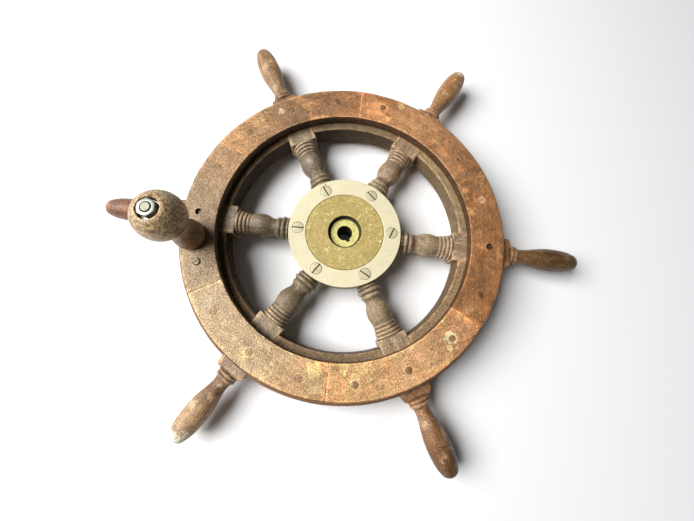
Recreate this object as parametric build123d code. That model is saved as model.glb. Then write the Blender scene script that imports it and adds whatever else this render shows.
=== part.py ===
from build123d import *
import os
from math import cos, radians, sin

os.makedirs("parts", exist_ok=True)

# ---------------------------------------------------------------- driving sizes (millimetres)
# The wheel lies on its back: +Z runs along the shaft bore, out of the front face.
# Z = 0 is the back face of the rim and of the hub collar.

# Places round the wheel, in degrees
spoke_angles = [0, 62, 120, 180, 238, 300]
facing_joint_angles = [30, 90, 150, 210, 270, 330]
rim_fixing_angles = list(range(0, 360, 20))
hub_screw_angles = [5, 61, 121, 182, 240, 301]
hub_slot_angles = [70, 139, 127, 2, 57, 152]
keyway_angle = 300
knob_angle = 190

# Rim: two facing rings with a thicker felloe ring between them
facing_inner_r = 155.0
facing_outer_r = 197.5
facing_thick = 13.5
felloe_inner_r = 146.0
felloe_outer_r = 203.0
felloe_thick = 26.5
edge_break = 1.0
joint_gap = 0.3
hairline = 0.01
cutter_reach = 3

# Spokes: a wedge in the hub, a turned length, a square block through the rim, a handle
wedge_inner_r = 48.5
wedge_outer_r = 66.5
wedge_thick = 27.0
block_inner_r = 137.0
block_outer_r = 212.5
block_wide = 36.0
block_edge = 1.2
shoulder_edge = 3.0
turning_overlap = 4.0
tip_r = 305.0

# Hub
boss_r = 48.2
collar_r = 30.0
flange_r = 67.0
flange_thick = 5.0
plate_outer_r = 69.85
plate_thick = 5.0
plate_gap = 0.2
plate_edge = 0.6
boss_setback = 0.15
recess_r = 20.75
recess_deep = 7.0
bush_outer_r = 18.0
bore_r = 9.525
keyway_wide = 4.8
keyway_deep = 2.4
hub_screw_pitch_r = 58.4
hub_screw_head_r = 7.15
hub_screw_r = 3.95
hub_screw_hole_r = 4.0
hub_screw_wood_hole_r = 4.3
hub_screw_seat_gap = 0.1
hub_screw_setback = 0.1
hub_screw_short = 0.3
hub_slot_wide = 1.5
hub_slot_deep = 1.6

# Rim fixings: a countersunk hole in each facing, a screw, and a wooden plug over its head
rim_fixing_pitch_r = 177.5
plug_hole_r = 4.0
plug_hole_deep = 6.0
plug_r = 3.97
plug_setback = 0.1
rim_screw_head_r = 3.8
rim_screw_head_high = 2.2
rim_screw_r = 1.9
rim_screw_hole_r = 2.0
rim_screw_bite = 11.5
rim_screw_run_out = 1.0
rim_slot_wide = 1.0
rim_slot_deep = 0.9
rim_slot_turn = 37
open_hole_angles = [0, 180]
flush_screw_angle = 20
flush_screw_head_r = 5.2
flush_screw_gap = 0.05
flush_screw_setback = 0.3
raised_screw_angle = 200
raised_screw_proud = 1.8
raised_screw_hole_r = 4.6

# Spinner knob on the rim
knob_pitch_r = 181.0
knob_head_r = 25.0
knob_head_z = 68.2
knob_high = 89.3
knob_counterbore_r = 10.7
knob_base_r = 16.2
knob_neck = [(17.8, 8.5), (16.4, 18.5), (13.7, 31.0), (14.0, 41.0)]
knob_head_start = 53.0
knob_bolt_r = 5.0
knob_bolt_hole_r = 5.3
sleeve_outer_r = 7.0
sleeve_inner_r = 5.15
sleeve_clearance = 0.05
end_play = 0.3
base_washer_r = 15.0
base_washer_thick = 1.6
top_washer_r = 9.8
top_washer_thick = 2.0
nut_across_flats = 16.0
nut_corner_r = 9.36
nut_corner_cut = 0.5
nut_corner_fall = 0.85
nut_turn = 12
nut_bore_r = 5.02
nut_high = 8.4
nut_proud = 2.2
bolt_end_proud = 0.7
bolt_end_chamfer = 0.8
bolt_head_high = 6.5
bolt_head_pocket_r = 12.0
bolt_head_pocket_deep = 9.5

# ---------------------------------------------------------------- levels worked out from them
rim_thick = 2 * facing_thick + felloe_thick
felloe_low = facing_thick
felloe_high = facing_thick + felloe_thick
spoke_z = rim_thick / 2
wedge_low = spoke_z - wedge_thick / 2
wedge_high = spoke_z + wedge_thick / 2
flange_low = wedge_low - flange_thick
plate_high = wedge_high + plate_thick
boss_high = plate_high - boss_setback
bush_high = plate_high - recess_deep
nut_top = rim_thick + knob_high + nut_proud
nut_low = nut_top - nut_high
sleeve_low = rim_thick + base_washer_thick
sleeve_high = nut_low - top_washer_thick
knob_x = knob_pitch_r * cos(radians(knob_angle))
knob_y = knob_pitch_r * sin(radians(knob_angle))


# ---------------------------------------------------------------- helpers
def save(name, shape):
    """Write one node's STEP file."""
    export_step(shape, f"parts/{name}.step")


def at(angle, radius, z=0.0):
    """A place on a circle round the bore, turned so that its X points outwards."""
    return Rot(0, 0, angle) * Pos(radius, 0, z)


def bar(radius, low, high):
    """A plain round bar along Z between two heights."""
    return Pos(0, 0, low) * Cylinder(radius, high - low, align=(Align.CENTER, Align.CENTER, Align.MIN))


def ring(inner_r, outer_r, low, high, edge):
    """A flat ring round the bore with broken edges."""
    section = make_face(
        Polyline(
            (inner_r + edge, 0, low),
            (outer_r - edge, 0, low),
            (outer_r, 0, low + edge),
            (outer_r, 0, high - edge),
            (outer_r - edge, 0, high),
            (inner_r + edge, 0, high),
            (inner_r, 0, high - edge),
            (inner_r, 0, low + edge),
            close=True,
        )
    )
    return revolve(section, Axis.Z, 360)


def slice_between(start, end, gap, low, high):
    """A wedge of space between two angles, held back by half a gap at each side."""
    reach = cutter_reach * tip_r
    middle = (start + end) / 2
    corners = [(0, 0)]
    for angle in (start, middle, end):
        corners.append((reach * cos(radians(angle)), reach * sin(radians(angle))))
    wedge = Pos(0, 0, low) * extrude(make_face(Polyline(*corners, close=True)), high - low)
    kerf = Box(2 * reach, gap, cutter_reach * rim_thick)
    return wedge - Rot(0, 0, start) * kerf - Rot(0, 0, end) * kerf


def next_angle(angles, index):
    """The angle that follows one in a list that goes once round the wheel."""
    later = angles[(index + 1) % len(angles)]
    return later if later > angles[index] else later + 360


def hexagon(high, low):
    """A hexagon prism, as for a nut, whose corners are turned off at the top."""
    prism = Pos(0, 0, low) * extrude(RegularPolygon(nut_across_flats / 2, 6, major_radius=False), high - low)
    turned = bar(nut_corner_r, low, high)
    turned = chamfer(turned.edges().sort_by(Axis.Z)[-1], nut_corner_cut, nut_corner_fall)
    return prism & turned


# ---------------------------------------------------------------- rim
def fixing_holes(angles, head_r, face_z, side):
    """Plug hole and screw hole at each angle, sunk from a face of the rim."""
    holes = Part()
    for angle in angles:
        deep = face_z - side * plug_hole_deep
        screw_end = face_z - side * (facing_thick + rim_screw_bite + rim_screw_run_out)
        wide = bar(head_r, min(face_z, deep), max(face_z, deep))
        narrow = bar(rim_screw_hole_r, min(deep, screw_end), max(deep, screw_end))
        holes += at(angle, rim_fixing_pitch_r) * (wide + narrow)
    return holes


plain_angles = [a for a in rim_fixing_angles if a not in (flush_screw_angle, raised_screw_angle)]
front_holes = (
    fixing_holes(plain_angles, plug_hole_r, rim_thick, 1)
    + fixing_holes([flush_screw_angle], flush_screw_head_r + flush_screw_gap, rim_thick, 1)
    + fixing_holes([raised_screw_angle], raised_screw_hole_r, rim_thick, 1)
)
back_holes = fixing_holes(rim_fixing_angles, plug_hole_r, 0.0, -1)
knob_bolt_hole = at(knob_angle, knob_pitch_r) * bar(knob_bolt_hole_r, 0, rim_thick)
knob_bolt_pocket = at(knob_angle, knob_pitch_r) * bar(bolt_head_pocket_r, 0, bolt_head_pocket_deep)


def facing_segment(index, low, high, holes):
    """One arc of a facing ring, from one butt joint to the next."""
    start = facing_joint_angles[index]
    end = next_angle(facing_joint_angles, index)
    segment = ring(facing_inner_r, facing_outer_r, low, high, edge_break)
    segment = segment & slice_between(start, end, joint_gap, low, high)
    return segment - holes - knob_bolt_hole - knob_bolt_pocket


def block_solid(angle):
    """The square block of one spoke, where it passes through the rim."""
    long = block_outer_r - block_inner_r
    block = at(angle, block_inner_r, spoke_z) * Box(
        long, block_wide, felloe_thick, align=(Align.MIN, Align.CENTER, Align.CENTER)
    )
    return block


def felloe_segment(index):
    """The middle layer of the rim between two spoke blocks."""
    start = spoke_angles[index]
    end = next_angle(spoke_angles, index)
    segment = ring(felloe_inner_r, felloe_outer_r, felloe_low, felloe_high, edge_break)
    segment = segment & slice_between(start, end, hairline, felloe_low, felloe_high)
    segment = segment - block_solid(start) - block_solid(end)
    return segment - front_holes - back_holes - knob_bolt_hole


# ---------------------------------------------------------------- spokes
# Turned beads as (start, end, crest radius, radius of the groove after it), measured along the spoke
hub_beads = [(70.4, 74.6, 14.6, 13.2), (74.6, 81.2, 15.3, 12.4), (81.2, 87.6, 13.4, 11.6)]
rim_beads = [
    (119.6, 124.0, 14.0, 13.2),
    (124.0, 128.6, 14.8, 14.0),
    (128.6, 133.2, 15.6, 14.8),
    (133.2, 138.0, 16.4, 15.4),
]
handle_beads = [(block_outer_r, 217.6, 13.3, 11.6), (217.6, 222.6, 12.4, 10.6)]
wedge_neck_r = 13.0
neck_r = 11.0
neck = 91.5
bulb_r = 15.6
bulb_crest = 106.0
grip_neck_r = 9.2
grip_neck = 231.0
grip_crest = 271.0
grip_r = 14.4
grip_swell = (251.0, 12.6)
grip_taper = (289.0, 13.0)
grip_entry_slope = (1, -0.35)
grip_end = 299.0
tip_round_r = 11.4
tip_arc_angle = 30


def bead_lines(beads, first_r):
    """A row of round beads as arcs, each from the groove before it to the groove after it."""
    lines = []
    start_r = first_r
    for start, end, crest_r, groove_r in beads:
        middle = (start + end) / 2
        lines.append(ThreePointArc((start, start_r), (middle, crest_r), (end, groove_r)))
        start_r = groove_r
    return lines


def inner_turning():
    """The turned length between the hub and the block, as a solid along X."""
    start = wedge_outer_r - turning_overlap
    lines = [Line((start, 0), (start, wedge_neck_r))]
    lines.append(Line((start, wedge_neck_r), (hub_beads[0][0], wedge_neck_r)))
    lines += bead_lines(hub_beads, wedge_neck_r)
    bulb_points = [
        (hub_beads[-1][1], hub_beads[-1][3]),
        (neck, neck_r),
        (bulb_crest, bulb_r),
        (rim_beads[0][0], rim_beads[0][3]),
    ]
    lines.append(Spline(*bulb_points))
    lines += bead_lines(rim_beads, rim_beads[0][3])
    last = (rim_beads[-1][1], rim_beads[-1][3])
    lines.append(Line(last, (last[0], 0)))
    lines.append(Line((last[0], 0), (start, 0)))
    return revolve(make_face(Wire(lines)), Axis.X, 360)


def handle_turning():
    """The handle outside the rim, as a solid along X."""
    start = block_outer_r - turning_overlap
    lines = [Line((start, 0), (start, handle_beads[0][3]))]
    lines.append(Line((start, handle_beads[0][3]), (block_outer_r, handle_beads[0][3])))
    lines += bead_lines(handle_beads, handle_beads[0][3])
    last = (handle_beads[-1][1], handle_beads[-1][3])
    ball_centre = tip_r - tip_round_r
    past_centre = grip_end - ball_centre
    grip_finish = (grip_end, (tip_round_r**2 - past_centre**2) ** 0.5)
    slopes = [grip_entry_slope, (grip_finish[1], -past_centre)]
    grip_points = [last, (grip_neck, grip_neck_r), grip_swell, (grip_crest, grip_r), grip_taper, grip_finish]
    lines.append(Spline(*grip_points, tangents=slopes))
    turn = radians(tip_arc_angle)
    on_ball = (ball_centre + tip_round_r * cos(turn), tip_round_r * sin(turn))
    lines.append(ThreePointArc(grip_finish, on_ball, (tip_r, 0)))
    lines.append(Line((tip_r, 0), (start, 0)))
    return revolve(make_face(Wire(lines)), Axis.X, 360)


def shouldered_block():
    """The block with broken edges, and a longer slope at its outer shoulder."""
    block = block_solid(0)
    block = chamfer(block.faces().sort_by(Axis.X)[-1].edges(), shoulder_edge)
    long_edges = block.edges().filter_by(Axis.X)
    return chamfer(long_edges, block_edge)


turned_length = Pos(0, 0, spoke_z) * inner_turning()
turned_handle = Pos(0, 0, spoke_z) * handle_turning()
spoke_block = shouldered_block()


def spoke(index):
    """One spoke with its handle, in one piece of wood."""
    angle = spoke_angles[index]
    before = spoke_angles[index - 1] - (360 if index == 0 else 0)
    start = (before + angle) / 2
    end = (angle + next_angle(spoke_angles, index)) / 2
    wedge = ring(wedge_inner_r, wedge_outer_r, wedge_low, wedge_high, edge_break / 2)
    wedge = wedge & slice_between(start, end, joint_gap, wedge_low, wedge_high)
    turned = Rot(0, 0, angle) * (turned_length + spoke_block + turned_handle)
    screw_hole = bar(hub_screw_wood_hole_r, wedge_low, wedge_high)
    screw_hole = at(hub_screw_angles[index], hub_screw_pitch_r) * screw_hole
    return wedge + turned - screw_hole - front_holes - back_holes


# ---------------------------------------------------------------- hub
def hub_boss():
    """The brass boss: a barrel with a back flange, a collar and a bore for the bush."""
    section = make_face(
        Polyline(
            (bush_outer_r, 0, 0),
            (collar_r, 0, 0),
            (collar_r, 0, flange_low),
            (flange_r, 0, flange_low),
            (flange_r, 0, wedge_low),
            (boss_r, 0, wedge_low),
            (boss_r, 0, boss_high),
            (recess_r, 0, boss_high),
            (recess_r, 0, bush_high),
            (bush_outer_r, 0, bush_high),
            close=True,
        )
    )
    boss = revolve(section, Axis.Z, 360)
    for angle in hub_screw_angles:
        boss -= at(angle, hub_screw_pitch_r) * bar(hub_screw_hole_r, flange_low, wedge_low)
    return boss


def hub_front_plate():
    """The bright ring that closes the front of the hub."""
    plate = ring(boss_r + plate_gap, plate_outer_r, wedge_high, plate_high, plate_edge)
    for angle in hub_screw_angles:
        plate -= at(angle, hub_screw_pitch_r) * hub_screw_shape(hub_screw_seat_gap)
    return plate


def hub_bush():
    """The keyed bush that takes the shaft."""
    bush = bar(bush_outer_r, 0, bush_high) - bar(bore_r, 0, bush_high)
    keyway = Box(bore_r + keyway_deep, keyway_wide, bush_high, align=(Align.MIN, Align.CENTER, Align.MIN))
    return bush - Rot(0, 0, keyway_angle) * keyway


def hub_screw_shape(oversize):
    """A countersunk screw that reaches from the front plate into the back flange."""
    head_high = plate_high - hub_screw_setback
    cone = hub_screw_head_r - hub_screw_r
    head = Pos(0, 0, head_high - cone) * Cone(
        hub_screw_r + oversize,
        hub_screw_head_r + oversize,
        cone,
        align=(Align.CENTER, Align.CENTER, Align.MIN),
    )
    if oversize:
        head += bar(hub_screw_head_r + oversize, head_high, plate_high)
    return head + bar(hub_screw_r + oversize, flange_low + hub_screw_short, head_high - cone)


def hub_screws():
    """The six slotted screws of the hub."""
    screws = []
    for angle, slot_angle in zip(hub_screw_angles, hub_slot_angles):
        slot = Pos(0, 0, plate_high) * Box(cutter_reach * hub_screw_head_r, hub_slot_wide, 2 * hub_slot_deep)
        screw = hub_screw_shape(0) - Rot(0, 0, slot_angle - angle) * slot
        screws.append(at(angle, hub_screw_pitch_r) * screw)
    return Compound(screws)


# ---------------------------------------------------------------- rim fixings
def rim_screw(head_low, head_r, head_high):
    """A slotted wood screw, head up, with its shank in the felloe."""
    end = rim_thick - facing_thick - rim_screw_bite
    screw = bar(rim_screw_r, end, head_low) + bar(head_r, head_low, head_high)
    return screw - Pos(0, 0, head_high) * Box(cutter_reach * head_r, rim_slot_wide, 2 * rim_slot_deep)


def both_faces(angles, shape, back):
    """Copies of a rim fixing at some angles, turned over for the back face."""
    turn = Pos(0, 0, rim_thick) * Rot(180, 0, 0) if back else Pos(0, 0, 0)
    return Compound([at(a, rim_fixing_pitch_r) * turn * Rot(0, 0, rim_slot_turn * a) * shape for a in angles])


seat = rim_thick - plug_hole_deep
hidden_screw = rim_screw(seat, rim_screw_head_r, seat + rim_screw_head_high)
plug = bar(plug_r, seat + rim_screw_head_high, rim_thick - plug_setback)
plug_angles = [a for a in plain_angles if a not in open_hole_angles]


# ---------------------------------------------------------------- spinner knob
def knob_grip():
    """The wooden knob: a waisted neck under a round head, bored for its sleeve."""
    base = sleeve_low - rim_thick + end_play
    floor = sleeve_high - rim_thick - end_play
    hole_r = sleeve_outer_r + sleeve_clearance
    head_start_r = (knob_head_r**2 - (knob_head_start - knob_head_z) ** 2) ** 0.5
    flat_r = (knob_head_r**2 - (knob_high - knob_head_z) ** 2) ** 0.5
    corners = [(hole_r, base), (knob_base_r, base)]
    neck_top = (head_start_r, knob_head_start)
    neck = Spline(corners[1], *knob_neck, neck_top)
    head = ThreePointArc(neck_top, (knob_head_r, knob_head_z), (flat_r, knob_high))
    top = Polyline(
        (flat_r, knob_high),
        (knob_counterbore_r, knob_high),
        (knob_counterbore_r, floor),
        (hole_r, floor),
        corners[0],
    )
    outline = make_face(Wire([Line(*corners), neck, head, *top.edges()]))
    section = Plane.XZ * outline
    return Pos(knob_x, knob_y, rim_thick) * revolve(section, Axis.Z, 360)


def knob_bolt():
    """The bolt that the knob turns on, its head sunk in the back of the rim."""
    head_top = bolt_head_pocket_deep - top_washer_thick
    head = Pos(0, 0, head_top) * Rot(180, 0, 0) * hexagon(bolt_head_high, 0)
    shank = bar(knob_bolt_r, head_top, nut_top + bolt_end_proud)
    shank = chamfer(shank.edges().sort_by(Axis.Z)[-1], bolt_end_chamfer)
    return Pos(knob_x, knob_y, 0) * (head + shank)


def knob_nut():
    """The nut in the knob's counterbore."""
    nut = hexagon(nut_top, nut_low) - bar(nut_bore_r, nut_low, nut_top)
    return Pos(knob_x, knob_y, 0) * Rot(0, 0, nut_turn) * nut


def knob_tube(outer_r, inner_r, low, high):
    """A washer or sleeve on the knob's bolt."""
    return Pos(knob_x, knob_y, 0) * (bar(outer_r, low, high) - bar(inner_r, low, high))


# ---------------------------------------------------------------- write every node
for index in range(len(spoke_angles)):
    save(f"front_facing_{index + 1}", facing_segment(index, felloe_high, rim_thick, front_holes))
    save(f"back_facing_{index + 1}", facing_segment(index, 0, felloe_low, back_holes))
    save(f"felloe_{index + 1}", felloe_segment(index))
    save(f"spoke_{index + 1}", spoke(index))

save("hub_boss", hub_boss())
save("hub_front_plate", hub_front_plate())
save("hub_bush", hub_bush())
save("hub_screws", hub_screws())

save("front_rim_screws", both_faces(plain_angles, hidden_screw, False))
save("front_rim_plugs", both_faces(plug_angles, plug, False))
save("back_rim_screws", both_faces(rim_fixing_angles, hidden_screw, True))
save("back_rim_plugs", both_faces(rim_fixing_angles, plug, True))
flush_screw = rim_screw(seat, flush_screw_head_r, rim_thick - flush_screw_setback)
save("flush_rim_screw", both_faces([flush_screw_angle], flush_screw, False))
raised_screw = rim_screw(seat, rim_screw_head_r, rim_thick + raised_screw_proud)
save("raised_rim_screw", both_faces([raised_screw_angle], raised_screw, False))

save("knob_grip", knob_grip())
save("knob_bolt", knob_bolt())
save("knob_nut", knob_nut())
save("knob_sleeve", knob_tube(sleeve_outer_r, sleeve_inner_r, sleeve_low, sleeve_high))
save("knob_base_washer", knob_tube(base_washer_r, knob_bolt_hole_r, rim_thick, sleeve_low))
save("knob_top_washer", knob_tube(top_washer_r, knob_bolt_hole_r, sleeve_high, nut_low))
pocket_washer_low = bolt_head_pocket_deep - top_washer_thick
save("knob_head_washer", knob_tube(top_washer_r, knob_bolt_hole_r, pocket_washer_low, bolt_head_pocket_deep))
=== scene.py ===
from math import asin, atan2, cos, degrees, hypot, pi, radians, sin, sqrt, tan

import bmesh
import bpy
import numpy as np
from mathutils import Matrix, Vector, noise


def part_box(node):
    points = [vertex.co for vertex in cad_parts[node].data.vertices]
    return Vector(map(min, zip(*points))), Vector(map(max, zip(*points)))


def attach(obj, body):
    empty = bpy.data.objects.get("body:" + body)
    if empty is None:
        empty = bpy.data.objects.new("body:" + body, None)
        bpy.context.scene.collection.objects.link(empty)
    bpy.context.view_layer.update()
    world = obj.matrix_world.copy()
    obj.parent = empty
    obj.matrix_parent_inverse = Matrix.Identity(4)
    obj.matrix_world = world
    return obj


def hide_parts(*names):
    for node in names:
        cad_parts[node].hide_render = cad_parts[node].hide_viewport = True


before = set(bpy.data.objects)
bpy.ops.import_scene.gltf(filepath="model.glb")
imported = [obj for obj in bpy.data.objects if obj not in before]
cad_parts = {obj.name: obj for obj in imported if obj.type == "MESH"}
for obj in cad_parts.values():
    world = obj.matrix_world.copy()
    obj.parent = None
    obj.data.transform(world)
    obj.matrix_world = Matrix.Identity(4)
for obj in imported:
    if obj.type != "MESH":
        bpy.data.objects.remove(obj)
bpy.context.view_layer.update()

scene = bpy.context.scene
MM = 0.001

# ---------------------------------------- sizes, read from the frame where it has them
SPOKE_ANGLES = [0, 62, 120, 180, 238, 300]
JOINT_ANGLES = [30, 90, 150, 210, 270, 330]
OPEN_JOINTS = (150, 210, 270)
OPEN_GAP, CLOSED_GAP = 0.30, 0.10
FIXING_ANGLES = range(0, 360, 20)
OPEN_HOLES = (0, 180)
FLUSH_SCREW, RAISED_SCREW = 20, 200
FIXING_PITCH = 177.5 * MM

front_low, front_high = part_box("front_facing_6")[0][2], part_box("front_facing_6")[1][2]
facing_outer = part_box("front_facing_6")[1][0]
facing_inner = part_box("front_facing_6")[0][0] / cos(radians(30))
felloe_low, felloe_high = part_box("felloe_1")[0][2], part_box("felloe_1")[1][2]
felloe_outer, felloe_inner = 203 * MM, 146 * MM
spoke_z = (felloe_low + felloe_high) / 2
block_half_wide = 18 * MM
block_half_thick = (felloe_high - felloe_low) / 2
knob_low, knob_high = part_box("knob_grip")[0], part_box("knob_grip")[1]
knob_x, knob_y = (knob_low[0] + knob_high[0]) / 2, (knob_low[1] + knob_high[1]) / 2
plate_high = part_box("hub_front_plate")[1][2]
plate_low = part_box("hub_front_plate")[0][2]

# ---------------------------------------- camera
CAMERA_PLACE = (0.00043, -0.11498, 0.40535)
CAMERA_TURN = (12.123, -2.397, 6.469)
CAMERA_LENS = 15.77


def make_camera():
    """The view from above the wheel, a little below its middle."""
    data = bpy.data.cameras.new("camera")
    data.lens = CAMERA_LENS
    data.sensor_width = 36
    data.clip_start = 0.01
    camera = bpy.data.objects.new("camera", data)
    camera.location = CAMERA_PLACE
    camera.rotation_euler = [radians(turn) for turn in CAMERA_TURN]
    scene.collection.objects.link(camera)
    scene.camera = camera


# ---------------------------------------- light and floor
KEY_PLACE = Vector((-1.50, 0.02, 1.68))
KEY_SIZE = 1.6
KEY_POWER = 98
SKY = 0.05


def make_light():
    """One large soft key from the left and a weak pale sky."""
    data = bpy.data.lights.new("key", "AREA")
    data.size = KEY_SIZE
    data.energy = KEY_POWER
    light = bpy.data.objects.new("key", data)
    light.location = KEY_PLACE
    light.rotation_euler = KEY_PLACE.to_track_quat("Z", "Y").to_euler()
    scene.collection.objects.link(light)
    world = bpy.data.worlds.new("studio")
    scene.world = world
    world.use_nodes = True
    world.node_tree.nodes["Background"].inputs["Color"].default_value = (1, 1, 1, 1)
    world.node_tree.nodes["Background"].inputs["Strength"].default_value = SKY
    scene.view_settings.view_transform = "Standard"


def lit(x, y):
    """How bright the lights make a level white face at a place on the wheel."""
    away = KEY_PLACE - Vector((x, y, 0.05))
    return KEY_POWER * away.z / (pi * pi * away.length**3) + SKY


# ---------------------------------------- material building blocks
def tone(colour, light):
    """The surface colour that looks like an sRGB colour (0 to 255) where the light is this strong."""
    channels = []
    for value in colour:
        share = value / 255
        linear = share / 12.92 if share < 0.04 else ((share + 0.055) / 1.055) ** 2.4
        channels.append(linear / light)
    return (*channels, 1)


def add(tree, kind, inputs=None, **settings):
    """A shader node with its settings, its inputs given as numbers or as sockets."""
    made = tree.nodes.new(kind)
    for key, value in settings.items():
        setattr(made, key, value)
    for key, value in (inputs or {}).items():
        if isinstance(value, bpy.types.NodeSocket):
            tree.links.new(value, made.inputs[key])
        else:
            made.inputs[key].default_value = value
    return made


def mix(tree, share, first, second, mode="MIX"):
    """One colour mixed over another."""
    made = add(tree, "ShaderNodeMix", {0: share, 6: first, 7: second}, data_type="RGBA", blend_type=mode)
    return made.outputs[2]


def maths(tree, work, first, second=0.0):
    """One sum on two numbers."""
    return add(tree, "ShaderNodeMath", {0: first, 1: second}, operation=work).outputs[0]


def times(tree, first, second):
    """One number times another."""
    return maths(tree, "MULTIPLY", first, second)


def plus(tree, first, second):
    """One number added to another."""
    return maths(tree, "ADD", first, second)


def between(tree, value, low, high, start=0.0, end=1.0):
    """A soft step: start below low, end above high."""
    inputs = {"Value": value, "From Min": low, "From Max": high, "To Min": start, "To Max": end}
    return add(tree, "ShaderNodeMapRange", inputs, interpolation_type="SMOOTHSTEP").outputs[0]


def speckle(tree, vector, scale, detail=3.0, rough=0.5, distort=0.0):
    """A noise value, about 0.5 in the middle."""
    inputs = {"Vector": vector, "Scale": scale, "Detail": detail, "Roughness": rough, "Distortion": distort}
    return add(tree, "ShaderNodeTexNoise", inputs).outputs["Fac"]


def cells(tree, vector, scale, feature="F1"):
    """A Voronoi distance."""
    return add(tree, "ShaderNodeTexVoronoi", {"Vector": vector, "Scale": scale},
        feature=feature).outputs["Distance"]


def placed(tree, turn_deg=0.0, stretch=(1, 1, 1), shift=(0, 0, 0)):
    """The piece's own coordinates, turned about Z, then stretched and shifted."""
    own = add(tree, "ShaderNodeTexCoord").outputs["Object"]
    turned = add(tree, "ShaderNodeMapping", {"Vector": own, "Rotation": (0, 0, radians(-turn_deg))})
    return add(tree, "ShaderNodeMapping", {"Vector": turned.outputs[0], "Scale": stretch,
        "Location": shift}).outputs[0]


def relief(tree):
    """How far a point stands out on an edge or crest (above 0) or lies in a groove (below 0)."""
    return add(tree, "ShaderNodeAttribute", attribute_name="relief").outputs["Fac"]


def upness(tree):
    """The upward part of a face's direction: 1 on a level face, 0 on an upright one."""
    normal = add(tree, "ShaderNodeNewGeometry").outputs["Normal"]
    return add(tree, "ShaderNodeSeparateXYZ", {0: normal}).outputs[2]


def new_material(name):
    """A material with its node tree and its main shader."""
    material = bpy.data.materials.new(name)
    material.use_nodes = True
    tree = material.node_tree
    return material, tree, tree.nodes["Principled BSDF"]


def bump(tree, shader, height, strength, depth):
    """Fine relief on a shader, depth in metres."""
    made = add(tree, "ShaderNodeBump", {"Height": height, "Strength": strength, "Distance": depth})
    tree.links.new(made.outputs[0], shader.inputs["Normal"])


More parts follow.
